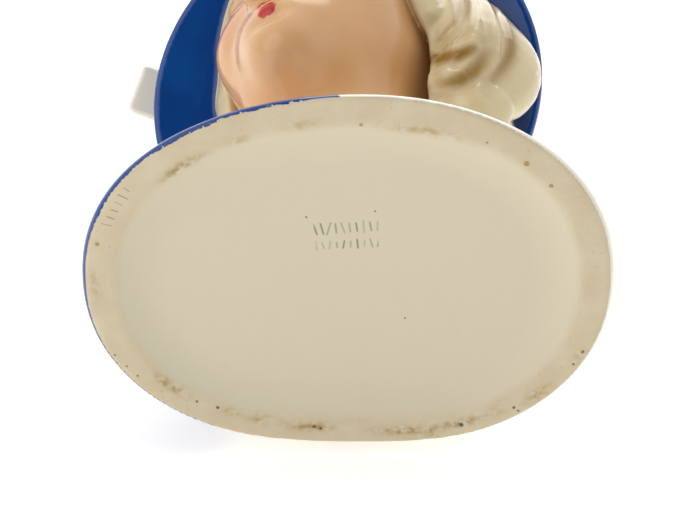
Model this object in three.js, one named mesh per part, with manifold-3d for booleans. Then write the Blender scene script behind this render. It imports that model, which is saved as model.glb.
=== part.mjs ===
// A lady head vase: a slip-cast and glazed earthenware bust of a woman in a wide-brimmed hat.
// The vase is one hollow casting, open at the top of the hat, with a recessed underside.
// The form is a field of signed distances. Its outside and its cavity are turned into closed
// meshes, and the foot, the recess and the cavity are then cut with solid booleans.
// Units are millimetres, +Z is up, the front is towards -Y and the origin is under the foot.
import * as THREE from "three";
import Module from "manifold-3d";
import { mergeVertices } from "three/addons/utils/BufferGeometryUtils.js";

// Foot and bust
const footWidth = 116.3;
const footDepth = 87.9;
const footSquareness = 2.16; // 2 would be an ellipse
const footPear = 0.007; // how much fuller the oval is at one end
const footBackFlat = 0.99; // share of the half depth where the back edge is cut off softly
const footEdgeRadius = 2.2;
const footRingWidth = 7.5;
const recessDepth = 3;
const recessSlope = 5;
const bustHeight = 47;
const necklineHeight = 40;
const necklineDip = 8; // how much lower the neckline is in front
const clothThickness = 0.9;
const stoleThickness = 1.6;
const stoleHem = 1.3;
const stoleFoldDepth = 1.5;
const stoleFoldPitch = 12;
const neckRadius = 17;
const neckLean = 6; // how far forward the neck goes between the bust and the head
const neckAside = 4.5; // how far the neck's top is from the middle of the head

// Head, turned towards its right shoulder
const headHeight = 100; // centre of the head above the foot
const headAcross = -3;
const headForward = 11;
const headTurn = 31; // degrees
const headTilt = 3; // degrees
const faceHalfWidth = 26.5;
const faceHalfDepth = 32;
const faceHalfHeight = 38;

// Hair
const hairSteps = 12; // straight pieces in each lock and groove
const grooveRadius = 1.7;
const grooveAbove = 0.7; // how far a groove's centre lies above the hair
const grooveSway = 3; // degrees

// Hat
const brimRadius = 53.7;
const brimNarrower = 0.92; // the brim's depth against its width
const brimLeft = 0.4;
const brimForward = 1.4;
const brimHeight = 106;
const brimThickness = 6;
const brimDish = 5;
const brimTiltBack = 33; // degrees
const brimRoll = 9; // degrees
const crownRadius = 38;
const crownTopRadius = 32;
const crownHeight = 54;
const crownShoulder = 17;
const crownRoot = 50; // how far down the crown goes before it is cut off at the brim
const crownTiltBack = 15; // degrees
const crownBack = 3;
const mouthRadius = 21;
const lipRound = 1.8;
const bandWidth = 11;
const bandThickness = 1.4;
const ribbonWidth = 13.6;
const ribbonThickness = 4.5;
const ribbonTailReach = 58.6;

// Casting
const wall = 4.2;
const floorThickness = 4.5;
const headWallExtra = 1;
const faceWallExtra = 2; // the eyes and lips are cut into the face's wall
const napeFront = 18; // how far behind the middle of the head the nape's hollow begins
const outsideCell = 1.6; // size of the cells that trace the outside
const cavityCell = 3;
const outsideTriangles = 7200;
const cavityTriangles = 1100;

const radians = THREE.MathUtils.degToRad;
const mix = THREE.MathUtils.lerp;
const { abs, cos, max, min, pow, sin, sqrt, PI } = Math;
const hypot = (a, b, c = 0) => sqrt(a * a + b * b + c * c);

// Joins or cuts two distances with a fillet of about the radius k.
const blend = (a, b, k) => {
  const near = max(k - abs(a - b), 0) / k;
  return min(a, b) - (near * near * k) / 4;
};
const carve = (a, b, k) => -blend(-a, b, k);
const overlap = (a, b, k) => -blend(-a, -b, k);
const ramp = (low, high, v) => {
  const t = min(max((v - low) / (high - low), 0), 1);
  return t * t * (3 - 2 * t);
};

// Distance from (x, y, z), measured from an ellipsoid's centre, to its surface.
function ellipsoid(x, y, z, rx, ry, rz) {
  const near = hypot(x / rx, y / ry, z / rz);
  const slope = hypot(x / (rx * rx), y / (ry * ry), z / (rz * rz));
  return slope > 1e-9 ? (near * (near - 1)) / slope : -min(rx, ry, rz);
}

// Distance to a rod from a to b whose radius goes from ra to rb.
function rod(x, y, z, a, b, ra, rb) {
  const bx = b[0] - a[0];
  const by = b[1] - a[1];
  const bz = b[2] - a[2];
  const px = x - a[0];
  const py = y - a[1];
  const pz = z - a[2];
  const along = (px * bx + py * by + pz * bz) / (bx * bx + by * by + bz * bz);
  const t = min(max(along, 0), 1);
  return hypot(px - t * bx, py - t * by, pz - t * bz) - mix(ra, rb, t);
}

// A frame turned by Euler angles about a centre; inFrame takes a point into it.
function frameAt(centre, pitch, roll, turn) {
  const euler = new THREE.Euler(radians(pitch), radians(roll), radians(turn), "ZYX");
  const m = new THREE.Matrix4().makeRotationFromEuler(euler).transpose().elements;
  return (x, y, z) => {
    const dx = x - centre[0];
    const dy = y - centre[1];
    const dz = z - centre[2];
    return [
      m[0] * dx + m[4] * dy + m[8] * dz,
      m[1] * dx + m[5] * dy + m[9] * dz,
      m[2] * dx + m[6] * dy + m[10] * dz,
    ];
  };
}
const intoHead = frameAt([headAcross, -headForward, headHeight], 0, headTilt, -headTurn);
const intoBrim = frameAt([-brimLeft, -brimForward, brimHeight], -brimTiltBack, brimRoll, 0);
const intoCrown = frameAt([-brimLeft, crownBack, brimHeight], -crownTiltBack, brimRoll / 2, 0);

// The oval of the foot: its radius at an angle, for given half width and half depth.
function ovalRadius(angle, halfWidth, halfDepth) {
  const across = pow(abs(cos(angle)) / halfWidth, footSquareness);
  const deep = pow(abs(sin(angle)) / halfDepth, footSquareness);
  const pear = 1 - footPear * cos(3 * angle) + footPear * sin(3 * angle);
  const oval = pow(across + deep, -1 / footSquareness) * pear;
  const backEdge = max(sin(angle), 1e-3) / (halfDepth * footBackFlat);
  return pow(pow(oval, -24) + pow(backEdge, 24), -1 / 24);
}

// How far a point of the bust is inside the stole, which leaves the front left shoulder bare.
function insideStole(x, y, z) {
  const up = z / bustHeight;
  const frontEdge = mix(-2, -13, up);
  const backEdge = mix(-31, -12, up);
  return x - mix(frontEdge, backEdge, ramp(-20, 20, y));
}

// Shoulders that fall from the neck to the oval foot.
function bust(x, y, z) {
  const up = min(max(z / bustHeight, 0), 1);
  const halfWidth = mix(footWidth / 2, neckRadius, up * up);
  const halfDepth = mix(footDepth / 2, neckRadius, pow(up, 0.95));
  const out = hypot(x, y);
  const side = out - ovalRadius(Math.atan2(y, x), halfWidth, halfDepth);
  const slope = 1 / sqrt(1 + pow(mix(0.3, 1.1, up), 2));
  return side * slope;
}

function belowNeckline(x, y, z) {
  const dip = necklineDip * ramp(10, -14, y) * Math.exp(-pow(x / 15, 2));
  return necklineHeight - dip - z;
}

// The dress lies on the body, and the stole is draped over one shoulder and the back.
function clothRise(x, y, z) {
  const inside = insideStole(x, y, z);
  const fade = ramp(3, 34, z);
  const neckFade = 1 - 0.5 * ramp(0.85, 1.1, z / bustHeight);
  const fold = pow(0.5 + 0.5 * cos((2 * PI * (inside - 3)) / stoleFoldPitch), 1.6);
  const hem = stoleHem * Math.exp(-pow((inside - 2.2) / 1.8, 2));
  const rise = stoleThickness + stoleFoldDepth * fold * ramp(2, 8, inside) + hem;
  const dress = clothThickness * ramp(-0.5, 0.5, belowNeckline(x, y, z));
  return max(dress, ramp(-0.7, 0.7, inside) * rise * neckFade) * fade;
}

function dressedBust(x, y, z) {
  const underside = -z - footEdgeRadius / 3; // the foot is cut flat a little above this
  const body = overlap(bust(x, y, z) - clothRise(x, y, z), z - bustHeight, 8);
  return overlap(body, underside, footEdgeRadius * 2);
}

const neckFoot = [0, 3, 34];
const neckTop = [headAcross + neckAside, 3 - neckLean, headHeight - 17];
const neck = (x, y, z) => rod(x, y, z, neckFoot, neckTop, neckRadius + 2, neckRadius);

// The face in the head's own frame: x to its left side, y to the back. Both sides are alike.
function faceForm(x, y, z) {
  const s = abs(x);
  const skull = ellipsoid(x, y, z - 4, faceHalfWidth, faceHalfDepth, faceHalfHeight);
  const jaw = ellipsoid(x, y + 7, z + 19, 19.5, 20.5, 20);
  const cheek = ellipsoid(s - 13.5, y + 17, z + 8, 10, 9, 11);
  const chin = ellipsoid(x, y + 22.5, z + 33.5, 8, 6.5, 6);
  return blend(blend(blend(skull, jaw, 12), cheek, 8), chin, 9);
}

function browAndEyes(d, x, y, z) {
  const s = abs(x);
  const brow = rod(s, y, z, [3, -28.6, 10.5], [17, -23.5, 11.5], 3.4, 2.6);
  const socket = ellipsoid(s - 12.4, y + 33.4, z - 3, 8, 6.6, 5.4);
  const ball = hypot(s - 12.2, y + 18.8, z - 2.4) - 8.4;
  const lashLine = 1.6 - 2.4 * (1 - pow((s - 12.2) / 6.4, 2));
  const upperLid = overlap(ball - 0.7, lashLine - z, 0.8);
  const browed = carve(blend(d, brow, 6), socket, 5);
  return blend(blend(browed, ball, 1.4), upperLid, 0.8);
}

function nose(d, x, y, z) {
  const s = abs(x);
  const bridge = rod(x, y, z, [0, -28.4, 9], [0, -36, -11], 2.6, 3.3);
  const tip = ellipsoid(x, y + 36.6, z + 12.2, 3.9, 4.1, 3.5);
  const wing = ellipsoid(s - 4.6, y + 32.4, z + 13.6, 2.8, 3.6, 2.8);
  const nostril = ellipsoid(s - 2.6, y + 35.6, z + 16.4, 1.3, 2, 1.2);
  const built = blend(blend(blend(d, bridge, 5), tip, 3), wing, 2.4);
  return carve(built, nostril, 1);
}

function mouth(d, x, y, z) {
  const s = abs(x);
  const corner = [9.2, -25.6, -24.4];
  const mound = ellipsoid(x, y + 21.5, z + 24, 11, 8.6, 8);
  const groove = rod(x, y, z, [0, -32.2, -17.5], [0, -31.6, -21], 1, 1.1);
  const upper = rod(s, y, z, [1.7, -29.6, -22.6], corner, 2.2, 0.5);
  const lower = rod(s, y, z, [0.6, -29.2, -26.4], corner, 2.6, 0.5);
  const dip = ellipsoid(x, y + 32.6, z + 30.6, 6.5, 2.8, 1.8);
  const muzzle = carve(carve(blend(d, mound, 7), groove, 1.6), dip, 3);
  return blend(blend(muzzle, upper, 1.2), lower, 1.2);
}

const head = (x, y, z) => mouth(nose(browAndEyes(faceForm(x, y, z), x, y, z), x, y, z), x, y, z);

// A smooth curve through points, as a row of short straight pieces.
function curveThrough(points, steps) {
  const extend = (end, next) => end.map((v, i) => 2 * v - next[i]);
  const p = [extend(points[0], points[1]), ...points, extend(points.at(-1), points.at(-2))];
  return Array.from({ length: steps + 1 }, (_, i) => {
    const u = (i / steps) * (points.length - 1);
    const j = min(Math.floor(u), points.length - 2);
    const t = u - j;
    return [0, 1, 2].map((axis) => {
      const [a, b, c, d] = p.slice(j, j + 4).map((q) => q[axis]);
      const square = 2 * a - 5 * b + 4 * c - d;
      const cube = 3 * b - a - 3 * c + d;
      return (2 * b + (c - a) * t + square * t * t + cube * t * t * t) / 2;
    });
  });
}

// Distance to the nearest point of a curve, and how far along the curve that point is.
function nearestAlong(x, y, z, along) {
  let best = Infinity;
  let place = 0;
  for (let i = 0; i + 1 < along.length; i += 1) {
    const a = along[i];
    const b = along[i + 1];
    const bx = b[0] - a[0];
    const by = b[1] - a[1];
    const bz = b[2] - a[2];
    const px = x - a[0];
    const py = y - a[1];
    const pz = z - a[2];
    const t = min(max((px * bx + py * by + pz * bz) / (bx * bx + by * by + bz * bz), 0), 1);
    const dx = px - t * bx;
    const dy = py - t * by;
    const dz = pz - t * bz;
    const square = dx * dx + dy * dy + dz * dz;
    if (square >= best) continue;
    best = square;
    place = i + t;
  }
  return [sqrt(best), place / (along.length - 1)];
}

function farthestFrom(middle, along) {
  return max(...along.map((p) => hypot(...p.map((v, axis) => v - middle[axis]))));
}

// A lock swells between its ends; it joins the hair with a fillet of the given softness.
function lock(points, fat, tip, softness) {
  const along = curveThrough(points, hairSteps);
  const middle = along[hairSteps / 2];
  const bound = farthestFrom(middle, along) + max(fat, tip);
  return { along, fat, tip, middle, bound, softness };
}

// Points are in the head's frame. One side has a full curl that rolls under beside the jaw.
const locks = [
  lock([[31, 1, 12], [34.5, 9, -8], [32.5, 11, -26]], 8.5, 8, 7),
  lock([[33.5, 12, 14], [39.3, 17.5, -12], [36, 18, -30]], 9.5, 9.4, 7),
  lock([[32, 2, 12], [37, 5, -7], [36, 6.5, -22], [31.5, 6, -29]], 7.5, 6.5, 7),
  lock([[32, 14, -34], [25.5, 26, -39], [6, 32, -42], [-14, 29, -41], [-27, 16, -37]], 8, 6.5, 7),
  lock([[21, 26, 9], [27, 29, -16], [24, 26, -32]], 9, 8, 7),
  lock([[8.5, 29, 6], [12, 32, -19], [8, 30, -36]], 9, 8, 7),
  lock([[-12, 25, 10], [-13, 30, -14], [-10, 28, -36]], 9, 8, 7),
  lock([[-25, 12, 8], [-28, 16, -14], [-26, 15, -36]], 8.5, 7, 7),
  lock([[-28, 2, 16], [-30, 5, -8], [-28, 3, -32]], 7, 6.5, 6),
  lock([[-27, -8, 18], [-28.5, -4, -2], [-25.5, -2, -26]], 6, 5.5, 5),
  lock([[5, -23, 26], [-10, -24, 21], [-21, -16.5, 13], [-28, -7, 0]], 6, 6, 3),
  lock([[5, -23, 26], [16, -21.5, 20], [25, -13, 10], [29, -3, -6]], 6, 7, 3),
  lock([[2, -20, 31], [-15, -18, 27], [-28, -7, 14]], 6, 6, 3),
];

function lockDistance(x, y, z, { along, fat, tip }) {
  const [away, u] = nearestAlong(x, y, z, along);
  return away - mix(fat, tip, u) * sqrt(sin(PI * (0.12 + 0.8 * u)));
}

// The head of hair under the locks. The face and the sides of the jaw stay free of it.
function hairCap(x, y, z) {
  const cap = ellipsoid(x, y - 4, z - 6, 31, 33, 38);
  const nape = ellipsoid(x, y - 14, z + 22, 30, 20, 24);
  return blend(cap, nape, 10);
}

function faceOpening(x, y, z, back) {
  const up = z + 6;
  return overlap((hypot(x / 26, up > 0 ? up / 35 : up / 48) - 1) * 26, y - back, 6);
}

function hairMass(x, y, z) {
  const opening = faceOpening(x, y, z, 16);
  let d = carve(hairCap(x, y, z), opening, 4);
  for (const one of locks) {
    const [mx, my, mz] = one.middle;
    if (hypot(x - mx, y - my, z - mz) - one.bound > d + 8) continue;
    d = blend(d, lockDistance(x, y, z, one), one.softness);
  }
  return carve(d, overlap(opening, z - 2, 6), 3);
}

// The direction in which a field grows, with its steepness.
function slopeOf(field, [x, y, z], step) {
  const along = (dx, dy, dz) => field(x + dx, y + dy, z + dz) - field(x - dx, y - dy, z - dz);
  return [along(step, 0, 0), along(0, step, 0), along(0, 0, step)].map((v) => v / (2 * step));
}

function settleOnSurface(field, point, rounds) {
  let p = point;
  for (let round = 0; round < rounds; round += 1) {
    const slope = slopeOf(field, p, 0.05);
    const steep = max(slope.reduce((sum, v) => sum + v * v, 0), 0.25);
    const step = min(max(field(...p) / steep, -4), 4);
    p = p.map((v, axis) => v - slope[axis] * step);
  }
  return p;
}

// A groove follows the hair's surface between its points and fades out at both ends.
function groove(points) {
  const path = curveThrough(points, hairSteps).map((p) => settleOnSurface(hairMass, p, 6));
  const along = path.map((p, i) => {
    const slope = slopeOf(hairMass, p, 0.2);
    const fade = sqrt(sin(PI * (0.04 + (0.92 * i) / hairSteps)));
    const lift = (grooveAbove + (1 - fade) * grooveRadius) / hypot(...slope);
    return p.map((v, axis) => v + slope[axis] * lift);
  });
  const middle = along[hairSteps / 2];
  return { along, middle, bound: farthestFrom(middle, along) + grooveRadius };
}

// A groove down the hair at an angle round the head, swaying a little to both sides.
function fallingGroove(angle) {
  const places = [[10, 38, 0], [-8, 42, grooveSway], [-24, 41, -grooveSway], [-38, 38, 0]];
  return groove(
    places.map(([height, out, turned]) => {
      const a = radians(angle + turned);
      return [out * cos(a), 8 + out * sin(a), height];
    }),
  );
}

const grooves = [
  ...[30, 47, 63, 80, 97, 115, 133, 152, 172, 192].map(fallingGroove),
  groove([[38, -6, 10], [39.5, -5, -3], [38.5, -3.6, -11.5], [36, -2, -19.6], [30, -0.5, -21]]),
  groove([[39, 3, -28], [34.3, 1.9, -30.6], [29, 1.4, -28.4]]),
  groove([
    [43, -1, 2],
    [43, 1, -12],
    [41.5, 4, -26],
    [36.5, 7, -33],
    [30.5, 6.2, -34],
    [24, 5, -31.5],
  ]),
  groove([[43, 3, 8], [46, 4, -6], [46, 7, -17], [43.5, 10.5, -26], [38, 10.6, -34]]),
];

function hair(x, y, z) {
  let d = hairMass(x, y, z);
  for (const one of grooves) {
    const [mx, my, mz] = one.middle;
    if (hypot(x - mx, y - my, z - mz) - one.bound > 3) continue;
    d = carve(d, nearestAlong(x, y, z, one.along)[0] - grooveRadius, 1.5);
  }
  return d;
}

// The brim is an oval that turns with the head, dished so that its edge hangs a little.
// Gives the distance out from its middle and the height above its middle surface.
function aboveBrim(x, y, z) {
  const [bx, by, bz] = intoBrim(x, y, z);
  const turn = radians(headTurn);
  const across = bx * cos(turn) - by * sin(turn);
  const along = bx * sin(turn) + by * cos(turn);
  const out = hypot(across, along / brimNarrower);
  return [out, bz + brimDish * pow(min(out / brimRadius, 1.1), 2)];
}

function brim(x, y, z) {
  const [out, above] = aboveBrim(x, y, z);
  const thick = brimThickness / 2;
  const flat = max(out - (brimRadius - thick), 0);
  return hypot(flat, max(abs(above) - thick * 0.35, 0)) - thick * 0.65;
}

// A round upright form between two heights, with rounded edges; t goes up its side.
function drum(out, up, low, high, lowRadius, highRadius, round) {
  const t = min(max(up / high, 0), 1);
  const beside = out - mix(lowRadius, highRadius, t * t) + round;
  const above = abs(up - (low + high) / 2) - (high - low) / 2 + round;
  return hypot(max(beside, 0), max(above, 0)) + min(max(beside, above), 0) - round;
}

function crown(x, y, z) {
  const [cx, cy, cz] = intoCrown(x, y, z);
  const out = hypot(cx, cy);
  const solid = drum(out, cz, -crownRoot, crownHeight, crownRadius, crownTopRadius, crownShoulder);
  return overlap(solid, -1 - aboveBrim(x, y, z)[1], 1);
}

// The ribbon round the crown, just above the brim.
function band(x, y, z) {
  const [, , bz] = intoBrim(x, y, z);
  const level = abs(bz - brimThickness - bandWidth / 2) - bandWidth / 2;
  return overlap(crown(x, y, z) - bandThickness, level, 1);
}

// A flat piece of ribbon from one point to another, lying on the brim.
function strip(p, from, to, width, thick) {
  const dx = to[0] - from[0];
  const dy = to[1] - from[1];
  const dz = to[2] - from[2];
  const long = hypot(dx, dy);
  const ux = dx / long;
  const uy = dy / long;
  const along = (p[0] - from[0]) * ux + (p[1] - from[1]) * uy;
  const across = (p[1] - from[1]) * ux - (p[0] - from[0]) * uy;
  const lift = p[2] - from[2] - dz * min(max(along / long, 0), 1);
  const round = 1.6;
  const qx = abs(along - long / 2) - long / 2 + round;
  const qy = abs(across) - width / 2 + round;
  const qz = abs(lift) - thick / 2 + round;
  const outside = hypot(max(qx, 0), max(qy, 0), max(qz, 0));
  return outside + min(max(qx, qy, qz), 0) - round;
}

// The bow: a knot beside the crown, a tail that passes the brim's edge, a second tail and loops.
function bow(x, y, z) {
  const p = intoBrim(x, y, z);
  const at = (cx, cy, cz, rx, ry, rz) => ellipsoid(p[0] - cx, p[1] - cy, p[2] - cz, rx, ry, rz);
  const knot = at(-40, 1, 10, 6, 6.5, 7);
  const tail = strip(p, [-36, 7, 6.5], [-ribbonTailReach, 1, 0.6], ribbonWidth, ribbonThickness);
  const second = strip(p, [-37, 4, 7], [-40, 32, 2.6], ribbonWidth, ribbonThickness);
  const frontLoop = carve(at(-38.5, -15, 13, 6, 13, 9), at(-44, -17.5, 13, 3.4, 7.5, 4.5), 2);
  const backLoop = carve(at(-38.5, 17, 12, 6, 13, 9), at(-44, 19.5, 12, 3.4, 7.5, 4.5), 2);
  const loops = min(frontLoop, backLoop);
  return blend(blend(blend(tail, second, 1.2), loops, 1.2), knot, 1.2);
}

function hat(x, y, z) {
  return blend(blend(blend(brim(x, y, z), crown(x, y, z), 3), band(x, y, z), 1), bow(x, y, z), 1);
}

// The whole outside. The head and hair end inside the hat.
function outside(x, y, z) {
  const [hx, hy, hz] = intoHead(x, y, z);
  const [, underHat] = aboveBrim(x, y, z);
  const face = overlap(head(hx, hy, hz), underHat, 1);
  const coveredHair = overlap(hair(hx, hy, hz), underHat, 1);
  const body = blend(blend(dressedBust(x, y, z), neck(x, y, z), 8), face, 7);
  return blend(blend(body, coveredHair, 1.6), hat(x, y, z), 1.6);
}

// The cavity keeps the wall's thickness inside the large forms and opens at the crown's top.
function cavity(x, y, z) {
  const [hx, hy, hz] = intoHead(x, y, z);
  const [cx, cy, cz] = intoCrown(x, y, z);
  const out = hypot(cx, cy);
  const underFloor = floorThickness + recessDepth - z;
  const bustInside = overlap(bust(x, y, z) + wall, underFloor, 6);
  const shoulders = overlap(bustInside, z - bustHeight + wall, 6);
  const throat = neck(x, y, z) + wall;
  const nape = carve(hairCap(hx, hy, hz), faceOpening(hx, hy, hz, napeFront), 4);
  const core = ellipsoid(hx, hy - 8, hz + 12, 14, 18, 22);
  const skull = blend(faceForm(hx, hy, hz) + faceWallExtra, nape, 6) + wall + headWallExtra;
  const headInside = blend(skull, core, 6);
  const [, above] = aboveBrim(x, y, z);
  const plate = wall - brimThickness / 2;
  const underBrim = overlap(blend(blend(shoulders, throat, 8), headInside, 6), above + plate, 3);
  const [inner, innerTop] = [crownRadius - wall, crownTopRadius - wall];
  const shoulder = crownShoulder - wall + 1;
  const inCrown = drum(out, cz, -crownRoot, crownHeight - wall, inner, innerTop, shoulder);
  const passage = overlap(headInside, inCrown, 3);
  const inHat = blend(overlap(inCrown, plate - above, 3), passage, 2);
  const opening = drum(out, cz, 30, crownHeight + 12, mouthRadius, mouthRadius, 1);
  return blend(blend(underBrim, inHat, 2), opening, 2 * lipRound);
}

// Which sets of inside corners one vertex can stand for: none that touch only by a diagonal.
const isSimple = Array.from({ length: 256 }, (_, mask) => {
  const inside = (corner) => (mask >> corner) & 1;
  for (let corner = 0; corner < 8; corner += 1) {
    const pair = (1 << corner) | (1 << (7 - corner));
    if (mask === pair || mask === 255 - pair) return false;
    for (const [u, v] of [[1, 2], [2, 4], [4, 1]]) {
      if (corner & (u | v)) continue;
      const [p, q, r, s] = [corner, corner | u, corner | v, corner | u | v].map(inside);
      if (p === s && q === r && p !== q) return false;
    }
  }
  return true;
});

// Fills samples in narrow crevices until every cell is simple, so that the surface stays closed.
function fillCrevices(value, n, at) {
  const [nx, ny, nz] = n;
  const step = [at(1, 0, 0), at(0, 1, 0), at(0, 0, 1)];
  const offsets = Array.from({ length: 8 }, (_, c) =>
    step.reduce((sum, s, a) => sum + ((c >> a) & 1 ? s : 0), 0),
  );
  for (let changed = true; changed; ) {
    changed = false;
    for (let i = 0; i + 1 < nx; i += 1)
      for (let j = 0; j + 1 < ny; j += 1)
        for (let k = 0; k + 1 < nz; k += 1) {
          const base = at(i, j, k);
          let mask = 0;
          for (let c = 0; c < 8; c += 1) if (value[base + offsets[c]] < 0) mask |= 1 << c;
          if (isSimple[mask]) continue;
          let nearest = -1;
          for (const o of offsets)
            if (value[base + o] >= 0 && (nearest < 0 || value[base + o] < value[nearest]))
              nearest = base + o;
          value[nearest] = -1e-3;
          changed = true;
        }
  }
}

// Traces a field's zero surface on cubic cells: one vertex in each cell that it crosses.
function traceSurface(field, low, high, cell) {
  const n = low.map((v, i) => Math.ceil((high[i] - v) / cell) + 1);
  const [nx, ny, nz] = n;
  const value = new Float32Array(nx * ny * nz);
  const at = (i, j, k) => (i * ny + j) * nz + k;
  const block = 4;
  for (let i = 0; i < nx; i += block)
    for (let j = 0; j < ny; j += block)
      for (let k = 0; k < nz; k += block) {
        const middle = [i, j, k].map((v, a) => low[a] + (v + block / 2 - 0.5) * cell);
        const far = field(...middle);
        const skip = abs(far) > block * cell * 1.5;
        for (let a = i; a < min(i + block, nx); a += 1)
          for (let b = j; b < min(j + block, ny); b += 1)
            for (let c = k; c < min(k + block, nz); c += 1)
              value[at(a, b, c)] = skip
                ? far
                : field(low[0] + a * cell, low[1] + b * cell, low[2] + c * cell);
      }
  fillCrevices(value, n, at);
  const vertexOf = new Int32Array(nx * ny * nz).fill(-1);
  const points = [];
  for (let i = 0; i + 1 < nx; i += 1)
    for (let j = 0; j + 1 < ny; j += 1)
      for (let k = 0; k + 1 < nz; k += 1) {
        const sum = [0, 0, 0];
        let crossings = 0;
        for (let axis = 0; axis < 3; axis += 1)
          for (let u = 0; u < 2; u += 1)
            for (let v = 0; v < 2; v += 1) {
              const from = [0, 0, 0];
              from[(axis + 1) % 3] = u;
              from[(axis + 2) % 3] = v;
              const to = [...from];
              to[axis] = 1;
              const d0 = value[at(i + from[0], j + from[1], k + from[2])];
              const d1 = value[at(i + to[0], j + to[1], k + to[2])];
              if (d0 < 0 === d1 < 0) continue;
              const t = d0 / (d0 - d1);
              for (let a = 0; a < 3; a += 1) sum[a] += from[a] + (a === axis ? t : 0);
              crossings += 1;
            }
        if (!crossings) continue;
        vertexOf[at(i, j, k)] = points.length / 3;
        const corner = [i, j, k];
        for (let a = 0; a < 3; a += 1)
          points.push(low[a] + (corner[a] + sum[a] / crossings) * cell);
      }
  const triangles = [];
  for (let i = 1; i + 1 < nx; i += 1)
    for (let j = 1; j + 1 < ny; j += 1)
      for (let k = 1; k + 1 < nz; k += 1)
        for (let axis = 0; axis < 3; axis += 1) {
          const to = [i, j, k];
          to[axis] += 1;
          const inside = value[at(i, j, k)] < 0;
          if (inside === value[at(...to)] < 0) continue;
          const corners = [[0, 0], [1, 0], [1, 1], [0, 1]].map(([u, v]) => {
            const c = [i, j, k];
            c[(axis + 1) % 3] -= u;
            c[(axis + 2) % 3] -= v;
            return vertexOf[at(...c)];
          });
          if (!inside) corners.reverse();
          const [p, q, r, s] = corners;
          triangles.push(p, q, r, p, r, s);
        }
  return { points, triangles };
}

// Leaves out the small closed pockets that the locks of hair enclose.
function keepLargest({ points, triangles }) {
  const parent = Int32Array.from({ length: points.length / 3 }, (_, v) => v);
  const rootOf = (v) => {
    while (parent[v] !== v) v = parent[v] = parent[parent[v]];
    return v;
  };
  for (let t = 0; t < triangles.length; t += 3)
    for (const other of [1, 2]) parent[rootOf(triangles[t + other])] = rootOf(triangles[t]);
  const share = new Map();
  for (const v of triangles) share.set(rootOf(v), (share.get(rootOf(v)) ?? 0) + 1);
  const largest = [...share].sort((p, q) => q[1] - p[1])[0][0];
  const kept = triangles.filter((_, i) => rootOf(triangles[i - (i % 3)]) === largest);
  return { points, triangles: kept };
}

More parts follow.
